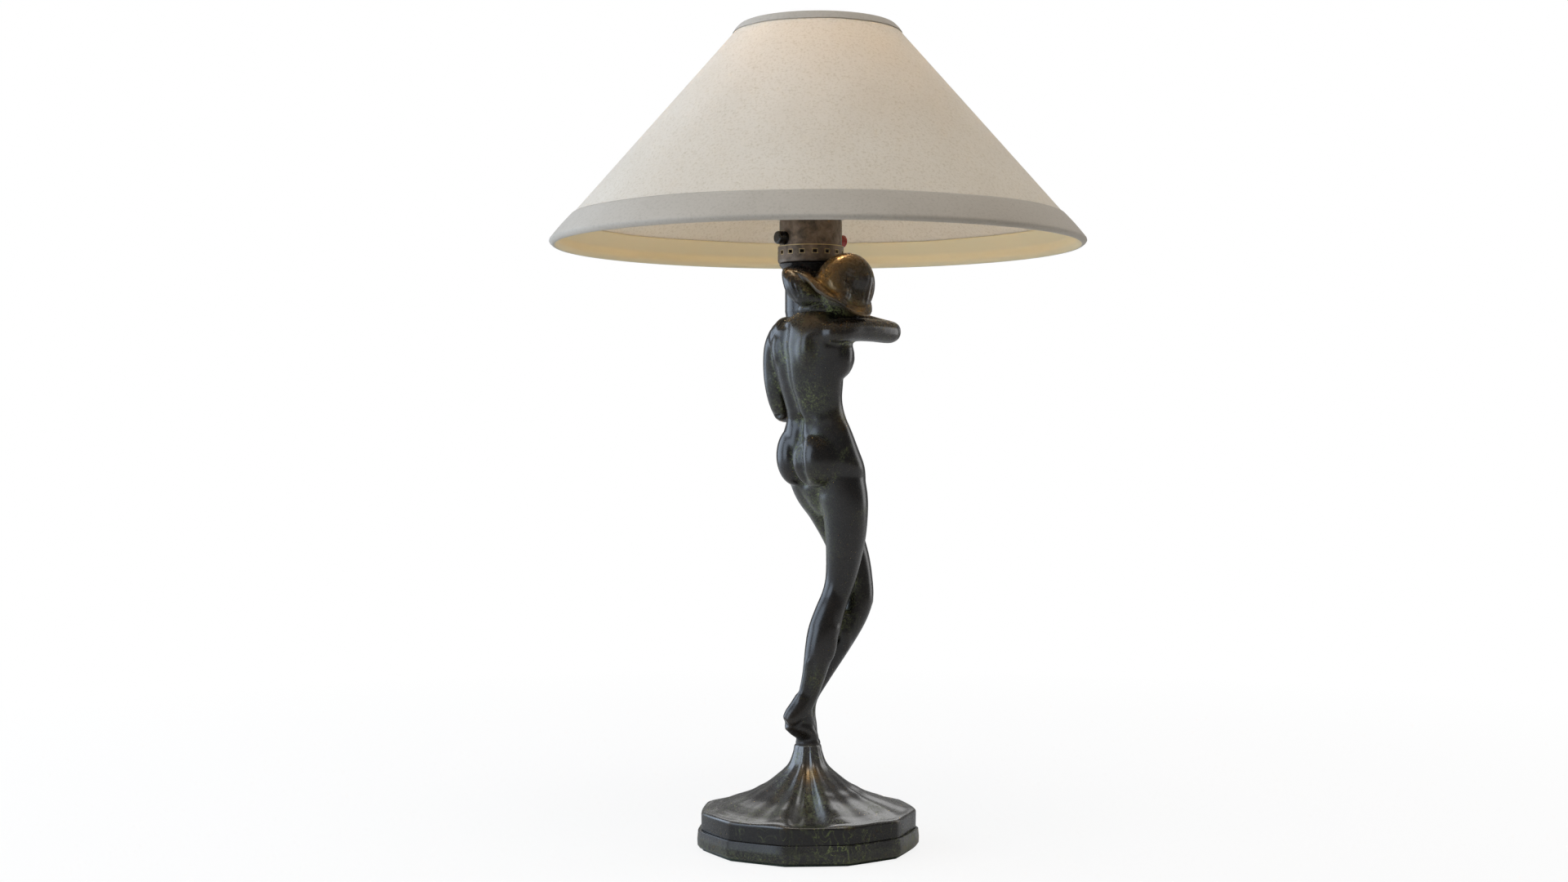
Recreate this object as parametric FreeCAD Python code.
import FreeCAD, Part
import math
import os

# Figural table lamp. Millimetres. +Z is up, z = 0 is the table, the origin is the centre of the plinth.
# -Y is the side that the photograph shows (the figure's back), +X is that view's right.

V = FreeCAD.Vector
UP = V(0, 0, 1)

# Plinth: two tiers of an eleven-sided block under a cone that looks like gathered cloth
SIDES = 11
FIRST_CORNER = -12.4          # degrees to the right of the front, seen from above
LOWER_R = 74.0                # corner radius of the lower tier
LOWER_H = 13.6
UPPER_R = 72.3                # corner radius of the upper tier
UPPER_TOP = 25.2
PLINTH_WALL = 5.0
PLINTH_DECK = 4.0             # top plate of the lower tier
FELT = 1.5
EDGE_ROUND = 2.5              # bevel at the foot of the lower tier
DRAPE_TOP = 68.0              # flat on which the toes stand
DRAPE_PROFILE = [(57.0, 28.0), (41.0, 33.2), (33.0, 37.5), (26.6, 41.3), (17.3, 49.4), (12.3, 55.4),
                 (10.0, 62.4)]
DRAPE_NECK = 9.0
DRAPE_CAVITY = [(60.0, 0.0), (57.0, 5.0), (40.0, 9.0), (28.0, 16.0), (19.0, 22.0), (11.0, 27.0)]

# Screws between the tiers, cord bushing and hollow foot stud
TIE_CIRCLE = 50.0
TIE_R = 2.0
TIE_HEAD_R = 3.8
TIE_HEAD_H = 2.6
TIE_REACH = 3.5               # thread into the upper tier
CLEAR = 0.1                   # fixed pieces
RUN = 0.05                    # running fits
BUSH_R = 4.2
BUSH_FLANGE_R = 6.0
BUSH_FLANGE = 1.6
BUSH_Z = 7.0
LEAD_R = 1.9
LEAD_ROOM = 0.4               # between the lead and its passage
STUD_R = 4.0
STUD_BOTTOM = 33.0
STUD_TOP = 77.0
STUD_AT = (-0.5, 3.0)
NUT_H = 5.0
NUT_FLATS = 13.0
WASHER_R = 8.0
WASHER_H = 1.2

# Vase and its cup; socket and vase share this axis
AXIS_X = 2.0
VASE_PROFILE = [(0.0, 283.0), (4.5, 283.6), (6.0, 287.0), (4.6, 290.5), (7.5, 296.0), (10.5, 310.0),
                (12.8, 325.0), (14.6, 340.0), (17.0, 354.0), (17.0, 380.0), (0.0, 380.0)]
VASE_WALL = 3.0
VASE_DECK = 4.0
VASE_HOLLOW_FROM = 300.0
VASE_TOP = 380.0
CUP_R = 21.0
CUP_H = 5.2
CUP_WALL = 1.2
CUP_FLOOR = 1.4

# Push-button socket
NIPPLE_R = 5.0
NIPPLE_BORE = 3.4
NIPPLE_BOTTOM = 368.0
NIPPLE_TOP = 391.0
NIPPLE_NUT_FLATS = 16.0
SHELL_R = 20.7
CAP_Z = 385.7
CAP_TOP = 397.2
CAP_WALL = 0.9
CAP_GAP = 0.2                 # round the shell, which presses into the cap
CAP_R = SHELL_R + CAP_GAP + CAP_WALL
CAP_HUB_R = 8.0
SLOTS = 16
FIRST_SLOT = 6.5              # degrees to the right of the front
SLOT_W = 2.9
SLOT_H = 2.2
SLOT_Z = 392.7
SHELL_WALL = 0.8
SHELL_BOTTOM = 394.6
SHOULDER_Z = 413.5
SHOULDER_H = 3.1
NECK_R = 18.8                 # threaded neck that takes the shade ring nut
SHELL_TOP = 446.0
LINER = 0.5
BLOCK_BOTTOM = 396.0
BLOCK_STEP = 411.0
BLOCK_TOP = 418.0
BLOCK_GAP = 0.2
BUTTON_R = 4.25
BUTTON_Z = CAP_TOP + 0.55 + BUTTON_R
BUTTON_TURN = 33.0            # degrees of the push bar from +X towards +Y
BUTTON_FACE = SHELL_R + 6.3   # outer face, from the socket axis
BUTTON_INNER = SHELL_R - 3.7
BUTTON_GAP = 0.3
BUTTON_EDGE = 1.2
ROD_R = 2.2
ROD_END = SHELL_R + 1.3       # blind end of the rod's hole in a button, from the socket axis
TRAVEL = 4.0
TERMINAL_Z = 408.0
TERMINAL_HEAD_R = 2.6
WIRE_GROOVE = 9.0             # width of the block's two side grooves, where the terminals sit
BLADE_W = 8.6
BLADE_T = 0.5
BULB_CAP_R = 13.1
SCREW_SHELL_BORE = BULB_CAP_R + 0.2
SCREW_SHELL_R = SCREW_SHELL_BORE + 0.6
SCREW_SHELL_BOTTOM = 421.0
SCREW_SHELL_TOP = 444.0
CONTACT_R = 3.4
CONTACT_RIVET_R = 1.4

# Bulb
BULB_CAP_BOTTOM = 424.0
BULB_CAP_TOP = 448.0
BULB_TIP = 421.6
BULB_TIP_R = 8.0
SUPPORT_R = 0.5               # filament and its two support wires
FILAMENT_Z = 497.0
FILAMENT_HALF = 11.0
GLASS_R = 30.0
GLASS_TOP = 531.0
GLASS_WALL = 0.8

# Shade: 4 in top, 14 in bottom and 7.5 in slant, as such shades are sold
SHADE_TOP_R = 51.4
SHADE_BOTTOM_R = 176.2
SHADE_BOTTOM_Z = 399.9
SHADE_TOP_Z = 542.6
SHADE_SHIFT = 4.5             # the shade sits this far to the right of the socket axis, as photographed
FABRIC = 0.8
WIRE_R = 1.5
TRIM = 0.6
TRIM_GAP = 0.05
BOTTOM_TRIM_W = 20.7
TOP_TRIM_W = 6.6
FITTER_T = 1.2
FITTER_R = 28.0
FITTER_SEAT_GAP = 0.02
ARMS = 3
ARM_R = 1.4
FIRST_ARM = 90.0
RING_NUT_R = 24.0
RING_NUT_H = 8.0
FLUTES = 24
FLUTE_R = 1.2
THREAD_GAP = 0.1


def save(name, *solids):
    """Writes one node; several separate solids share a node only where they are alike."""
    shape = solids[0] if len(solids) == 1 else Part.Compound(list(solids))
    shape.exportStep("parts/" + name + ".step")
    total = sum(s.Volume for s in shape.Solids)
    print(name, len(shape.Solids), "solid(s)", round(total, 1), "mm3", "" if shape.isValid() else "INVALID")


def turned(profile, x=0.0, y=0.0):
    """A closed (radius, z) outline turned about the vertical line through x, y."""
    wire = Part.makePolygon([V(r, 0, z) for r, z in profile + [profile[0]]])
    solid = Part.Face(wire).revolve(V(0, 0, 0), UP, 360)
    solid.translate(V(x, y, 0))
    return solid


def rod(radius, low, high, x=0.0, y=0.0):
    return Part.makeCylinder(radius, high - low, V(x, y, low))


def pipe(outer, inner, low, high, x=0.0, y=0.0):
    return rod(outer, low, high, x, y).cut(rod(inner, low - 1, high + 1, x, y))


def between(a, b, radius):
    """A round bar from point a to point b."""
    a, b = V(*a), V(*b)
    return Part.makeCylinder(radius, (b - a).Length, a, b - a)


def hex_nut(flats, low, height, bore, x=0.0, y=0.0):
    corner = flats / math.sqrt(3)
    points = [V(x + corner * math.cos(math.radians(60 * k)), y + corner * math.sin(math.radians(60 * k)), low)
              for k in range(7)]
    solid = Part.Face(Part.makePolygon(points)).extrude(V(0, 0, height))
    return solid.cut(rod(bore, low - 1, low + height + 1, x, y))


def corner_direction(degrees):
    """Unit vector of an angle counted to the right from the front (-Y)."""
    a = math.radians(degrees)
    return V(math.sin(a), -math.cos(a), 0)


def many_sided(radius, z):
    """The plinth's outline with this corner radius at this height."""
    corners = [corner_direction(FIRST_CORNER + 360.0 * k / SIDES) * radius + V(0, 0, z) for k in range(SIDES)]
    return Part.makePolygon(corners + [corners[0]])


def stacked(levels):
    """A faceted solid through many-sided outlines given as (radius, z)."""
    return Part.makeLoft([many_sided(r, z) for r, z in levels], True, True)


def limb(stations):
    """A rounded limb through (x, y, z, radius) stations, its sections square to its run."""
    rings = []
    for k, (x, y, z, r) in enumerate(stations):
        before = V(*stations[max(k - 1, 0)][:3])
        after = V(*stations[min(k + 1, len(stations) - 1)][:3])
        rings.append(Part.Wire(Part.makeCircle(r, V(x, y, z), after - before)))
    return Part.makeLoft(rings, True, False)


def trunk(stations):
    """The torso through (x, y, z, half width, half depth, turn) level ellipses; turn is the way she faces."""
    rings = []
    for x, y, z, wide, deep, turn in stations:
        ellipse = Part.Ellipse(V(0, 0, 0), wide, deep).toShape()
        ellipse.rotate(V(0, 0, 0), UP, -turn)
        ellipse.translate(V(x, y, z))
        rings.append(Part.Wire(ellipse))
    return Part.makeLoft(rings, True, False)


def ball(x, y, z, r, poles=UP):
    return Part.makeSphere(r, V(x, y, z), poles)


def bent_bar(points, radius, bends):
    """A round bar along straight runs joined by tangent arcs of the given radii."""
    points = [V(*p) for p in points]
    edges = []
    start = points[0]
    for k in range(1, len(points) - 1):
        into = (points[k] - points[k - 1]).normalize()
        out = (points[k + 1] - points[k]).normalize()
        half = into.getAngle(out) / 2
        reach = bends[k - 1] * math.tan(half)
        a = points[k] - into * reach
        b = points[k] + out * reach
        inward = (out - into).normalize()
        middle = points[k] + inward * (bends[k - 1] / math.cos(half) - bends[k - 1])
        edges.append(Part.LineSegment(start, a).toShape())
        edges.append(Part.Arc(a, middle, b).toShape())
        start = b
    edges.append(Part.LineSegment(start, points[-1]).toShape())
    path = Part.Wire(edges)
    section = Part.Wire(Part.makeCircle(radius, points[0], points[1] - points[0]))
    return path.makePipeShell([section], True, False)


# ---------------------------------------------------------------- plinth and drape
GLAND_SIDE = FIRST_CORNER + 360.0 / SIDES * 5.5   # middle of the facet at the back
GLAND = corner_direction(GLAND_SIDE)
FLAT_R = LOWER_R * math.cos(math.pi / SIDES)      # from the centre to the middle of a facet


def gland_point(radius, z):
    return GLAND * radius + V(0, 0, z)


def tie_places():
    return [corner_direction(120.0 * k) * TIE_CIRCLE for k in range(3)]


def plinth():
    body = stacked([(LOWER_R - EDGE_ROUND, FELT), (LOWER_R, FELT + EDGE_ROUND),
                    (LOWER_R, LOWER_H - 1.2), (LOWER_R - 1.2, LOWER_H)])
    inside = LOWER_R - PLINTH_WALL - EDGE_ROUND
    body = body.cut(stacked([(inside, FELT - 1), (inside, LOWER_H - PLINTH_DECK)]))
    body = body.cut(rod(STUD_R + 3, FELT, LOWER_H + 1, *STUD_AT))
    for p in tie_places():
        body = body.cut(rod(TIE_R + CLEAR, 0, LOWER_H + 1, p.x, p.y))
    hole = Part.makeCylinder(BUSH_R + CLEAR, 40, gland_point(LOWER_R - 30, BUSH_Z), GLAND)
    return body.cut(hole)


def felt_pad():
    return stacked([(LOWER_R - EDGE_ROUND - 0.5, 0.0), (LOWER_R - EDGE_ROUND - 0.5, FELT)])


def drape():
    levels = [(UPPER_R, LOWER_H), (UPPER_R, UPPER_TOP - 0.8), (UPPER_R - 1.6, UPPER_TOP)]
    levels += DRAPE_PROFILE + [(DRAPE_NECK, DRAPE_TOP)]
    body = stacked(levels)
    body = body.cut(stacked([(r, LOWER_H + up) for r, up in DRAPE_CAVITY]))
    body = body.cut(rod(STUD_R + CLEAR, LOWER_H, DRAPE_TOP + 1, *STUD_AT))
    body = body.cut(rod(WASHER_R + 0.5, LOWER_H + 10, stud_seat(), *STUD_AT))
    for p in tie_places():
        lug = rod(TIE_R + 4, LOWER_H, LOWER_H + 10, p.x, p.y)
        body = body.fuse(lug.common(stacked([(UPPER_R - 4, LOWER_H), (UPPER_R - 22, LOWER_H + 10)])))
        body = body.cut(rod(TIE_R, LOWER_H - 1, LOWER_H + TIE_REACH + 0.5, p.x, p.y))
    return body


def stud_seat():
    """The level inside the drape that the washer bears on."""
    return LOWER_H + DRAPE_CAVITY[-1][1] + 2.0


def tie_screws():
    screws = []
    for p in tie_places():
        head_top = LOWER_H - PLINTH_DECK
        head = rod(TIE_HEAD_R, head_top - TIE_HEAD_H, head_top, p.x, p.y)
        shank = rod(TIE_R - 0.02, head_top, LOWER_H + TIE_REACH, p.x, p.y)
        slot = Part.makeBox(10, 0.9, 1.2, V(p.x - 5, p.y - 0.45, head_top - TIE_HEAD_H))
        screws.append(head.fuse(shank).cut(slot))
    return screws


def cord_bushing():
    reach = PLINTH_WALL + EDGE_ROUND + 3
    sleeve = Part.makeCylinder(BUSH_R, reach, gland_point(FLAT_R - reach, BUSH_Z), GLAND)
    flange = Part.makeCylinder(BUSH_FLANGE_R, BUSH_FLANGE, gland_point(FLAT_R, BUSH_Z), GLAND)
    bore = Part.makeCylinder(LEAD_R + LEAD_ROOM, 40, gland_point(FLAT_R - 20, BUSH_Z), GLAND)
    return sleeve.fuse(flange).cut(bore)


def foot_stud():
    return pipe(STUD_R - 0.02, LEAD_R + LEAD_ROOM, STUD_BOTTOM, STUD_TOP, *STUD_AT)


def foot_washer():
    return pipe(WASHER_R, STUD_R + CLEAR, stud_seat() - WASHER_H, stud_seat(), *STUD_AT)


def foot_nut():
    return hex_nut(NUT_FLATS, stud_seat() - WASHER_H - NUT_H, NUT_H, STUD_R, *STUD_AT)


# ---------------------------------------------------------------- figure
HIPS_TURN = 43.0     # degrees that she faces to the right of straight away
CHEST_TURN = 51.0
TORSO = [(18.5, -3.0, 222.0, 15.0, 13.0, HIPS_TURN),
         (15.0, -4.0, 232.0, 25.0, 18.5, HIPS_TURN),
         (11.5, -5.0, 244.0, 31.0, 22.0, HIPS_TURN),
         (9.2, -7.0, 253.0, 32.3, 22.2, HIPS_TURN),
         (7.4, -9.0, 263.0, 30.0, 20.0, HIPS_TURN),
         (6.4, -12.0, 274.0, 27.0, 17.5, 45.0),
         (5.3, -15.0, 285.0, 23.0, 15.3, 47.0),
         (3.1, -18.0, 295.5, 23.6, 15.8, 49.0),
         (1.7, -21.0, 306.0, 26.6, 17.2, CHEST_TURN),
         (0.0, -24.0, 322.0, 30.5, 18.0, CHEST_TURN),
         (-0.5, -27.0, 336.0, 31.0, 16.5, CHEST_TURN),
         (0.0, -29.0, 344.0, 24.0, 12.5, CHEST_TURN),
         (3.0, -30.0, 349.5, 12.0, 10.0, CHEST_TURN)]
RIGHT_LEG = [(20.0, -15.0, 246.0, 17.0), (24.0, -14.0, 231.0, 15.8), (24.8, -12.0, 217.5, 14.6),
             (24.7, -9.0, 204.0, 13.3), (23.6, -5.5, 191.0, 11.6), (21.6, -2.5, 177.0, 10.0),
             (18.4, -1.5, 166.0, 9.2), (14.3, -3.5, 155.0, 10.0), (10.6, -5.5, 143.0, 10.7),
             (7.7, -6.5, 131.0, 10.0), (4.2, -6.5, 115.0, 8.0), (0.3, -6.0, 101.0, 7.2),
             (-3.6, -5.6, 91.0, 6.9), (-3.0, -3.0, 82.0, 7.2), (-0.6, 1.0, 74.0, 7.4), (1.4, 4.4, 66.0, 7.6)]
RIGHT_HEEL = [(-4.0, -4.0, 90.0, 6.4), (-8.5, -8.0, 87.0, 5.8), (-13.6, -11.0, 84.6, 4.4)]
LEFT_LEG = [(2.5, 3.0, 248.0, 16.0), (8.0, 8.0, 237.0, 15.6), (15.7, 12.0, 224.0, 14.8),
            (23.0, 16.0, 207.0, 13.8), (29.5, 18.5, 189.0, 12.6), (33.0, 18.0, 172.0, 11.4),
            (33.8, 16.5, 162.0, 10.6), (30.5, 14.5, 150.0, 9.0), (22.0, 12.0, 136.0, 8.6),
            (13.5, 11.0, 122.0, 8.4), (6.8, 10.0, 110.0, 7.6), (1.2, 9.0, 98.0, 6.6), (-0.3, 9.0, 88.0, 6.0),
            (0.2, 9.6, 77.0, 6.0), (1.2, 11.0, 66.0, 5.6)]
BREASTS = [(20.5, -14.0, 323.0, 10.4), (4.0, 2.0, 323.0, 7.0)]
SHOULDERS = [(17.0, -46.0, 337.5, 9.6), (-19.0, -6.0, 335.0, 9.0)]
NECK = [(6.0, -31.0, 342.0, 9.5), (8.0, -31.0, 352.0, 8.2), (12.0, -31.0, 360.0, 8.4)]
RIGHT_ARM = [(19.0, -45.0, 338.5, 9.0), (30.0, -35.0, 340.5, 8.6), (43.0, -22.0, 340.5, 7.9),
             (55.0, -8.0, 339.8, 7.3)]
RIGHT_FOREARM = [(55.0, -8.0, 339.8, 7.2), (49.0, 2.0, 342.0, 6.9), (38.0, 11.0, 347.0, 6.0),
                 (28.0, 16.0, 351.0, 5.0)]
RIGHT_HAND = [(28.0, 16.0, 351.0, 5.0), (20.0, 20.0, 353.0, 5.2), (11.0, 23.0, 354.0, 4.2),
              (3.0, 23.4, 354.5, 3.0)]
LEFT_ARM = [(-19.5, -3.0, 334.0, 8.9), (-21.5, 1.0, 322.0, 8.4), (-21.2, 3.0, 308.0, 7.9),
            (-19.0, 5.0, 296.0, 7.4), (-17.0, 7.0, 288.0, 7.0)]
LEFT_FOREARM = [(-17.0, 7.0, 288.0, 7.0), (-8.0, 16.5, 289.0, 6.8), (0.0, 22.5, 291.5, 6.0),
                (7.0, 25.0, 294.5, 5.0)]
LEFT_HAND = [(7.0, 25.0, 294.5, 5.0), (13.0, 22.0, 298.0, 5.0), (17.5, 14.0, 300.0, 3.6)]
HEAD = (17.0, -29.0, 366.0, 14.5)
HAT_AT = (22.5, -30.0, 361.5)
HAT_UP = V(0.36, -0.20, 0.91)
HAT_PROFILE = [(0.0, 28.5), (8.0, 27.2), (14.0, 23.0), (17.8, 15.0), (18.8, 7.0), (19.4, 2.0), (24.0, -1.0),
               (27.5, -4.5), (26.6, -6.4), (23.0, -3.6), (17.6, -1.0), (0.0, -1.0)]
PEAK = (-1.0, -26.0, 364.5, 9.0)
LEAD_IN_FIGURE = [(-0.5, 3.0, 80.0), (-3.2, -5.0, 92.0), (1.0, -6.0, 103.0), (9.5, -5.5, 139.0),
                  (18.6, -1.8, 166.0), (23.6, -6.0, 192.0), (23.5, -12.0, 225.0), (12.0, -8.0, 262.0),
                  (4.0, -18.0, 296.0), (AXIS_X, -13.0, 316.0), (AXIS_X, 0.0, 330.0), (AXIS_X, 0.0, 392.0)]
LEAD_BENDS_BELOW = [30.0, 6.0, 7.0]
LEAD_BENDS = [7.0, 8.0, 25.0, 30.0, 30.0, 25.0, 25.0, 18.0, 11.0, 9.0]


def vase_outside(grow=0.0):
    points = [(r + grow if r else 0.0, z) for r, z in VASE_PROFILE]
    points[0] = (0.0, VASE_PROFILE[0][1] - grow)
    points[-1] = (0.0, VASE_TOP)
    return turned(points, AXIS_X)


def lead_route():
    """From the bushing across the plinth, up the stud and on through the figure and the vase."""
    under = [tuple(gland_point(FLAT_R, BUSH_Z)), tuple(gland_point(22, BUSH_Z)), STUD_AT + (BUSH_Z,)]
    return under + LEAD_IN_FIGURE


def passage():
    """The hollow that the lead runs through, from the foot to the top of the vase."""
    route = [STUD_AT + (DRAPE_TOP,)] + LEAD_IN_FIGURE
    return bent_bar(route, LEAD_R + LEAD_ROOM, LEAD_BENDS_BELOW[-1:] + LEAD_BENDS)


def figure_body():
    body = trunk(TORSO)
    for piece in [limb(RIGHT_LEG), limb(LEFT_LEG), limb(RIGHT_HEEL)]:
        body = body.fuse(piece)
    for place in BREASTS + SHOULDERS:
        body = body.fuse(ball(*place))
    below = Part.makeBox(200, 200, DRAPE_TOP, V(-100, -100, 0))
    body = body.cut(below)
    body = body.cut(vase_outside(CLEAR))
    body = body.cut(rod(STUD_R, DRAPE_TOP - 1, STUD_TOP + 0.5, *STUD_AT))
    return body


def head_and_hat():
    hat = Part.Face(Part.makePolygon([V(r, 0, z) for r, z in HAT_PROFILE + [HAT_PROFILE[0]]]))
    hat = hat.revolve(V(0, 0, 0), UP, 360)
    hat.Placement = FreeCAD.Placement(V(*HAT_AT), FreeCAD.Rotation(UP, HAT_UP))
    return hat.fuse(ball(*HEAD, HAT_UP)).fuse(limb(NECK)).fuse(ball(*PEAK, HAT_UP))


def arm(upper, fore, hand):
    """Upper arm, elbow, forearm and hand, kept clear of the vase."""
    whole = limb(upper).fuse(ball(*fore[0])).fuse(limb(fore)).fuse(limb(hand))
    return whole.cut(vase_outside(CLEAR))


# ---------------------------------------------------------------- vase and socket
def vase():
    neck = VASE_PROFILE[-2][0] - VASE_WALL
    deck = VASE_TOP - VASE_DECK
    hollow = [(0.0, VASE_HOLLOW_FROM), (6.5, VASE_HOLLOW_FROM + 1), (9.6, 325.0), (11.4, 340.0),
              (neck, 354.0), (neck, deck), (0.0, deck)]
    body = vase_outside().cut(turned(hollow, AXIS_X))
    return body.cut(rod(NIPPLE_R + CLEAR, deck - 1, VASE_TOP + 1, AXIS_X))


def vase_cup():
    neck = VASE_PROFILE[-2][0]
    outline = [(NIPPLE_R + CLEAR, VASE_TOP), (neck + 0.4, VASE_TOP), (neck + 1.4, VASE_TOP + 1.6),
               (CUP_R - 0.8, VASE_TOP + 4.2), (CUP_R, VASE_TOP + CUP_H), (CUP_R - CUP_WALL, VASE_TOP + CUP_H),
               (neck, VASE_TOP + CUP_FLOOR), (NIPPLE_R + CLEAR, VASE_TOP + CUP_FLOOR)]
    return turned(outline, AXIS_X)


def nipple():
    return pipe(NIPPLE_R, NIPPLE_BORE, NIPPLE_BOTTOM, NIPPLE_TOP, AXIS_X)


def nipple_nut():
    return hex_nut(NIPPLE_NUT_FLATS, VASE_TOP - VASE_DECK - NUT_H, NUT_H, NIPPLE_R, AXIS_X)


def socket_cap():
    seat = VASE_TOP + CUP_FLOOR
    inner = CAP_R - CAP_WALL
    floor = CAP_Z + CAP_WALL + 0.6
    outline = [(NIPPLE_R, seat), (CAP_HUB_R, seat), (CAP_HUB_R, CAP_Z), (CAP_R - 1.6, CAP_Z),
               (CAP_R - 0.4, CAP_Z + 0.6), (CAP_R, CAP_Z + 2.0), (CAP_R, CAP_TOP), (inner, CAP_TOP),
               (inner, CAP_Z + 2.2), (CAP_R - 2.6, floor), (NIPPLE_R, floor)]
    cap = turned(outline, AXIS_X)
    for k in range(SLOTS):
        out = corner_direction(FIRST_SLOT + 360.0 * k / SLOTS)
        slot = Part.makeBox(8, SLOT_W, SLOT_H, V(0, -SLOT_W / 2, 0))
        slot.rotate(V(0, 0, 0), UP, math.degrees(math.atan2(out.y, out.x)))
        slot.translate(out * (CAP_R - 4) + V(AXIS_X, 0, SLOT_Z - SLOT_H / 2))
        cap = cap.cut(slot)
    return cap


def button_way(radius, inner, outer):
    """A round bar on the line of the push bar, from inner to outer, counted towards the red button."""
    out = push_direction()
    start = V(AXIS_X, 0, BUTTON_Z) + out * inner
    return Part.makeCylinder(radius, outer - inner, start, out)


def push_direction():
    a = math.radians(BUTTON_TURN)
    return V(math.cos(a), math.sin(a), 0)


def terminal_direction(side):
    a = math.radians(BUTTON_TURN + 90.0 * side)
    return V(math.cos(a), math.sin(a), 0)


def socket_shell():
    w = SHELL_WALL
    top = SHOULDER_Z + SHOULDER_H
    outline = [(SHELL_R, SHELL_BOTTOM), (SHELL_R, SHOULDER_Z), (SHELL_R - 0.5, top - 0.8),
               (SHELL_R - 1.1, top), (NECK_R, top), (NECK_R, SHELL_TOP), (NECK_R - w, SHELL_TOP),
               (NECK_R - w, top - w), (SHELL_R - w - 0.9, top - w), (SHELL_R - w, SHOULDER_Z - 0.4),
               (SHELL_R - w, SHELL_BOTTOM)]
    return turned(outline, AXIS_X).cut(button_way(BUTTON_R + BUTTON_GAP, -40, 40))


def socket_liner():
    outer = SHELL_R - SHELL_WALL - CLEAR
    inner = NECK_R - SHELL_WALL - CLEAR
    step = SHOULDER_Z - 1.4
    top = SHELL_TOP - 1.0
    outline = [(outer, SHELL_BOTTOM), (outer, step), (inner, step + 1.2), (inner, top), (inner - LINER, top),
               (inner - LINER, step + 0.9), (outer - LINER, step - 0.3), (outer - LINER, SHELL_BOTTOM)]
    return turned(outline, AXIS_X).cut(button_way(BUTTON_R + BUTTON_GAP, -40, 40))


def block_radius():
    return SHELL_R - SHELL_WALL - CLEAR - LINER - BLOCK_GAP


def block_neck():
    return NECK_R - SHELL_WALL - CLEAR - LINER - BLOCK_GAP


def socket_block():
    body = rod(block_radius(), BLOCK_BOTTOM, BLOCK_STEP, AXIS_X)
    body = body.fuse(rod(block_neck(), BLOCK_STEP, BLOCK_TOP, AXIS_X))
    pressed = BUTTON_INNER - TRAVEL - 0.5
    body = body.cut(button_way(ROD_R + RUN, -40, 40))
    body = body.cut(button_way(BUTTON_R + BUTTON_GAP, pressed, 40))
    body = body.cut(button_way(BUTTON_R + BUTTON_GAP, -40, -pressed))
    for side in (-1, 1):
        groove = Part.makeBox(block_radius(), WIRE_GROOVE, 40, V(11.0, -WIRE_GROOVE / 2, BLOCK_BOTTOM - 1))
        groove.rotate(V(0, 0, 0), UP, BUTTON_TURN + 90.0 * side)
        groove.translate(V(AXIS_X, 0, 0))
        body = body.cut(groove)
        out = terminal_direction(side)
        body = body.cut(Part.makeCylinder(1.6, 6.0, V(AXIS_X, 0, TERMINAL_Z) + out * 6.0, out))
    return body.cut(rod(1.5, BLOCK_TOP - 4, BLOCK_TOP + 1, AXIS_X)).cut(blade_slot())


def blade_slot():
    wide = BLADE_W + 0.4
    slot = Part.makeBox(wide, 1.6, BUTTON_Z - BLOCK_BOTTOM + 1.0, V(-wide / 2, ROD_R + 0.2, BLOCK_BOTTOM - 1))
    slot.rotate(V(0, 0, 0), UP, BUTTON_TURN)
    slot.translate(V(AXIS_X, 0, 0))
    return slot


def switch_blade():
    tall = BUTTON_Z - BLOCK_BOTTOM - 0.4
    blade = Part.makeBox(BLADE_W, BLADE_T, tall, V(-BLADE_W / 2, ROD_R + 0.3, BLOCK_BOTTOM))
    blade.rotate(V(0, 0, 0), UP, BUTTON_TURN)
    blade.translate(V(AXIS_X, 0, 0))
    return blade


def terminal_screws():
    screws = []
    for side in (-1, 1):
        out = terminal_direction(side)
        axis = V(AXIS_X, 0, TERMINAL_Z)
        shank = Part.makeCylinder(1.55, 4.6, axis + out * 6.4, out)
        head = Part.makeCylinder(TERMINAL_HEAD_R, 1.8, axis + out * 11.0, out)
        screws.append(shank.fuse(head))
    return screws


def screw_shell():
    flange = pipe(block_neck(), 5.0, BLOCK_TOP, BLOCK_TOP + 0.8, AXIS_X)
    return flange.fuse(pipe(SCREW_SHELL_R, SCREW_SHELL_BORE, BLOCK_TOP + 0.8, SCREW_SHELL_TOP, AXIS_X))


def centre_contact():
    top = BULB_TIP - 0.1
    rivet = rod(CONTACT_RIVET_R, BLOCK_TOP - 3.5, BLOCK_TOP, AXIS_X)
    head = [(0.0, BLOCK_TOP), (CONTACT_R, BLOCK_TOP), (CONTACT_R, BLOCK_TOP + 0.6), (1.8, top), (0.0, top)]
    return rivet.fuse(turned(head, AXIS_X))


def button(side):
    """side -1 is the black one at the near left, 1 the red one at the far right."""
    body = button_way(BUTTON_R, *sorted((side * BUTTON_INNER, side * BUTTON_FACE)))
    middle = V(AXIS_X, 0, BUTTON_Z) + push_direction() * side * BUTTON_FACE
    rim = [e for e in body.Edges if (e.CenterOfMass - middle).Length < 0.01]
    body = body.makeFillet(BUTTON_EDGE, rim)
    return body.cut(button_way(ROD_R, *sorted((side * 10, side * ROD_END))))


def push_rod():
    return button_way(ROD_R - 0.02, -ROD_END, ROD_END)


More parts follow.
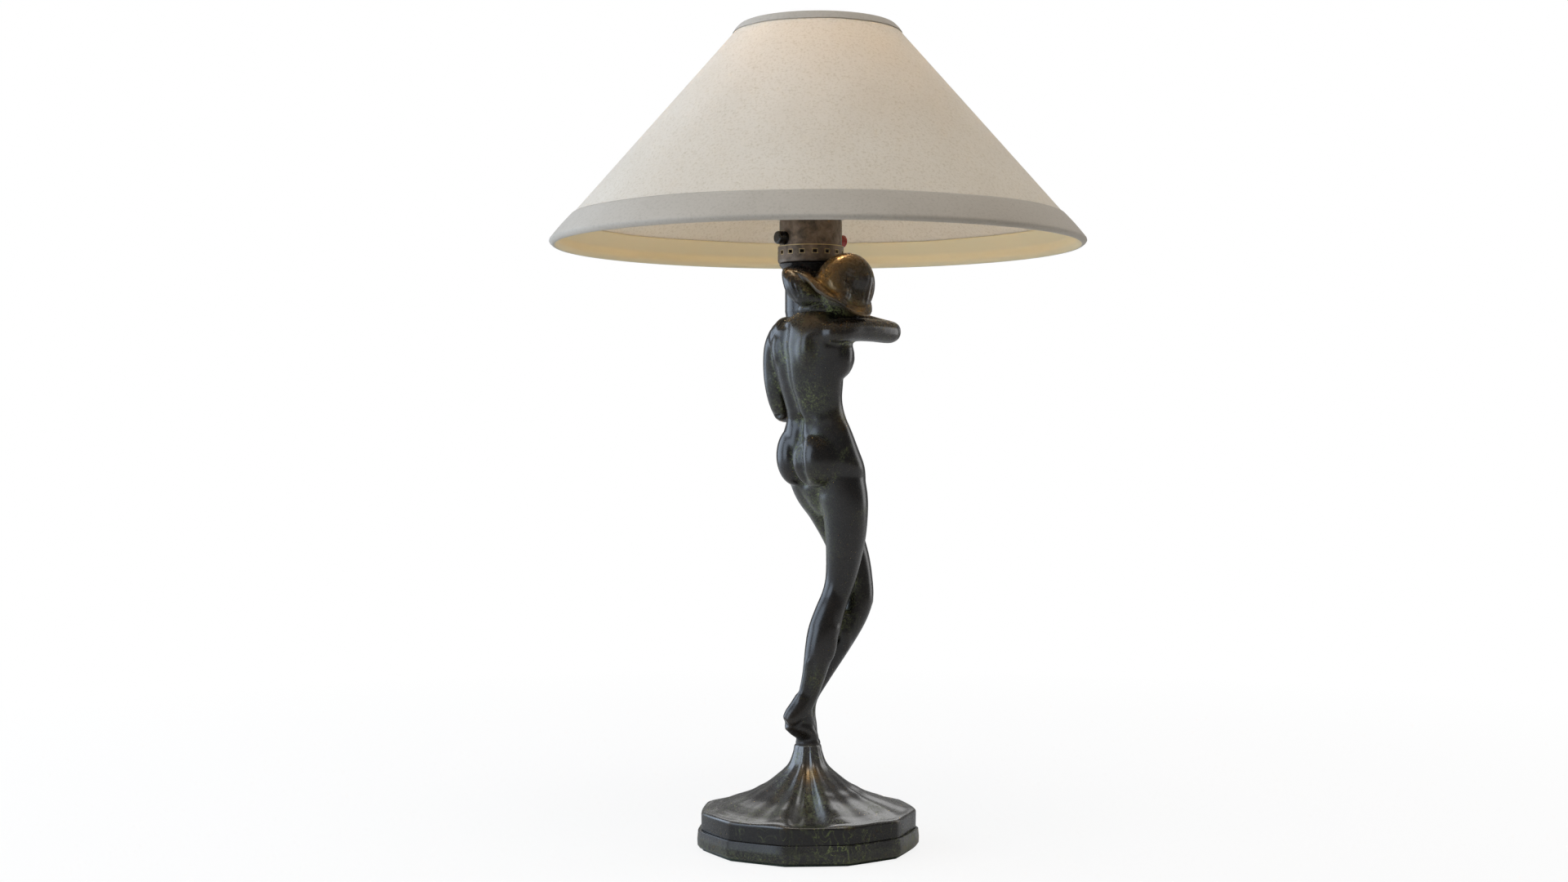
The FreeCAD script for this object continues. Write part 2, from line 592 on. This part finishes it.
def shade_ring_nut():
    low = SHOULDER_Z + SHOULDER_H + FITTER_SEAT_GAP + FITTER_T + 0.03
    ring = pipe(RING_NUT_R, NECK_R + THREAD_GAP, low, low + RING_NUT_H, AXIS_X)
    for k in range(FLUTES):
        spot = corner_direction(360.0 * k / FLUTES) * (RING_NUT_R + 0.6)
        ring = ring.cut(rod(FLUTE_R, low - 1, low + RING_NUT_H + 1, AXIS_X + spot.x, spot.y))
    return ring


# ---------------------------------------------------------------- bulb
def bulb_glass():
    bottom = BULB_CAP_TOP - 4.0
    neck = BULB_CAP_R
    outer = [(neck - 1.1, bottom), (neck - 0.8, BULB_CAP_TOP), (neck + 0.3, BULB_CAP_TOP + 4),
             (neck + 2.3, 460.0), (19.6, 471.0),
             (25.2, 483.0), (29.0, 493.0), (GLASS_R, 502.0), (29.0, 511.5), (26.0, 519.5), (20.0, 526.5),
             (11.0, 530.2), (0.0, GLASS_TOP)]
    inner = [(max(r - GLASS_WALL, 0.0), z - (GLASS_WALL if z > 502.0 else 0.0)) for r, z in outer]
    inner[0] = (outer[0][0] - GLASS_WALL, bottom)
    return turned(outer + inner[::-1], AXIS_X)


def bulb_cap():
    r = BULB_CAP_R
    low = BULB_CAP_BOTTOM
    outline = [(r - 1.4, low), (r, low + 2), (r, BULB_CAP_TOP), (r - 0.5, BULB_CAP_TOP), (r - 0.5, low + 2.4),
               (r - 1.9, low + 0.5), (BULB_TIP_R, low + 0.5), (BULB_TIP_R, low)]
    return turned(outline, AXIS_X)


def bulb_tip():
    top = BULB_CAP_BOTTOM + 1.2
    outline = [(0.0, BULB_TIP), (3.6, BULB_TIP), (BULB_TIP_R, BULB_CAP_BOTTOM), (BULB_TIP_R, top), (0.0, top)]
    return turned(outline, AXIS_X)


def bulb_mount():
    """Glass post with two support wires and the filament between them."""
    low = BULB_CAP_TOP - 3.8
    wide = BULB_CAP_R - 2.0
    outline = [(0.0, low), (wide, low), (wide - 0.1, low + 1.2), (3.4, 456.0), (2.4, 476.0), (0.0, 476.0)]
    stem = turned(outline, AXIS_X)
    ends = [(AXIS_X + side * FILAMENT_HALF, 0, FILAMENT_Z) for side in (-1, 1)]
    for end in ends:
        stem = stem.fuse(between((AXIS_X, 0, 475.0), end, SUPPORT_R))
    return stem.fuse(between(*ends, SUPPORT_R))


# ---------------------------------------------------------------- shade
SHADE_X = AXIS_X + SHADE_SHIFT
SLANT = math.hypot(SHADE_BOTTOM_R - SHADE_TOP_R, SHADE_TOP_Z - SHADE_BOTTOM_Z)
SLANT_UP = ((SHADE_TOP_R - SHADE_BOTTOM_R) / SLANT, (SHADE_TOP_Z - SHADE_BOTTOM_Z) / SLANT)
SLANT_OUT = (SLANT_UP[1], -SLANT_UP[0])
BOTTOM_WIRE = WIRE_R + 0.8    # places of the two rings up the slope
TOP_WIRE = SLANT - BOTTOM_WIRE


def on_slant(along, out):
    """(radius, z) of a point this far up the cone's slope and this far out of its outer face."""
    return (SHADE_BOTTOM_R + along * SLANT_UP[0] + out * SLANT_OUT[0],
            SHADE_BOTTOM_Z + along * SLANT_UP[1] + out * SLANT_OUT[1])


def shade_turned(points):
    return turned([on_slant(a, o) for a, o in points], SHADE_X)


def shade_fabric():
    return shade_turned([(0.0, 0.0), (SLANT, 0.0), (SLANT, -FABRIC), (0.0, -FABRIC)])


def wire_place(along):
    return on_slant(along, -FABRIC - WIRE_R - TRIM_GAP)


def shade_wire(along):
    r, z = wire_place(along)
    ring = Part.makeTorus(r, WIRE_R)
    ring.translate(V(SHADE_X, 0, z))
    return ring


def trim(width, end, up):
    """Tape folded round an edge wire: outer leg, round the edge, inner leg.

    end is the edge's place up the slope, and up is 1 or -1, away from that edge.
    """
    wire = FABRIC + 2 * WIRE_R + 2 * TRIM_GAP
    far = width * up
    lip = end - up * 0.8
    back = end + up * (2 * WIRE_R + 1.0)
    lean = end + up * (2 * WIRE_R + 5.0)
    near = FABRIC + TRIM_GAP
    outer = TRIM_GAP + TRIM
    points = [(end + far, outer), (end + far * 0.5, outer + 0.25), (lip + up * 0.4, outer),
              (lip - up * TRIM * 0.6, -1.0), (lip - up * TRIM * 0.6, 1.0 - wire),
              (lip + up * 0.4, -wire - TRIM),
              (back, -wire - TRIM), (lean, -near - TRIM), (end + far, -near - TRIM), (end + far, -near),
              (lean, -near), (back, -wire), (lip + up * 0.8, -wire), (lip, 1.0 - wire), (lip, -1.0),
              (lip + up * 0.8, TRIM_GAP), (end + far, TRIM_GAP)]
    return shade_turned(points)


def fitter_arms(radius):
    """Bars from the fitter ring to the top wire."""
    seat = SHOULDER_Z + SHOULDER_H + FITTER_SEAT_GAP
    top_r, top_z = wire_place(TOP_WIRE)
    bars = []
    for k in range(ARMS):
        a = math.radians(FIRST_ARM + 360.0 * k / ARMS)
        foot = (AXIS_X + (FITTER_R - 1.5) * math.cos(a), (FITTER_R - 1.5) * math.sin(a), seat + FITTER_T / 2)
        head = (SHADE_X + top_r * math.cos(a), top_r * math.sin(a), top_z)
        bars.append(between(foot, head, radius))
    return bars


def shade_fitter():
    seat = SHOULDER_Z + SHOULDER_H + FITTER_SEAT_GAP
    ring = pipe(FITTER_R, NECK_R + 0.3, seat, seat + FITTER_T, AXIS_X)
    for bar in fitter_arms(ARM_R):
        ring = ring.fuse(bar)
    under = Part.makeBox(200, 200, 60, V(-100, -100, seat - 60))
    return ring.cut(under).cut(shade_wire(TOP_WIRE))


# ---------------------------------------------------------------- leads
def lead():
    return bent_bar(lead_route(), LEAD_R, LEAD_BENDS_BELOW + LEAD_BENDS)


os.makedirs("parts", exist_ok=True)
body = figure_body().cut(passage())
head = head_and_hat().cut(vase_outside(CLEAR)).cut(body)
vase_part = vase().cut(passage())

save("felt_pad", felt_pad())
save("plinth", plinth())
save("base_drape", drape())
save("tie_screws", *tie_screws())
save("cord_bushing", cord_bushing())
save("foot_stud", foot_stud())
save("foot_washer", foot_washer())
save("foot_nut", foot_nut())
save("figure_body", body)
save("head_and_hat", head)
save("right_arm", arm(RIGHT_ARM, RIGHT_FOREARM, RIGHT_HAND).cut(body).cut(head))
save("left_arm", arm(LEFT_ARM, LEFT_FOREARM, LEFT_HAND).cut(body))
save("vase", vase_part)
save("vase_cup", vase_cup())
save("socket_nipple", nipple())
save("nipple_nut", nipple_nut())
save("socket_cap", socket_cap())
save("socket_shell", socket_shell())
save("socket_liner", socket_liner())
save("socket_block", socket_block())
save("switch_blade", switch_blade())
save("terminal_screws", *terminal_screws())
save("screw_shell", screw_shell())
save("centre_contact", centre_contact())
save("push_rod", push_rod())
save("black_button", button(-1))
save("red_button", button(1))
save("shade_ring_nut", shade_ring_nut())
save("bulb_glass", bulb_glass())
save("bulb_cap", bulb_cap())
save("bulb_tip", bulb_tip())
save("bulb_mount", bulb_mount())
save("shade_fabric", shade_fabric())
save("shade_top_wire", shade_wire(TOP_WIRE))
save("shade_bottom_wire", shade_wire(BOTTOM_WIRE))
save("shade_bottom_trim", trim(BOTTOM_TRIM_W, 0.0, 1))
top_trim = trim(TOP_TRIM_W, SLANT, -1)
for bar in fitter_arms(ARM_R + CLEAR):
    top_trim = top_trim.cut(bar)
save("shade_top_trim", top_trim)
save("shade_fitter", shade_fitter())
save("inner_lead", lead())
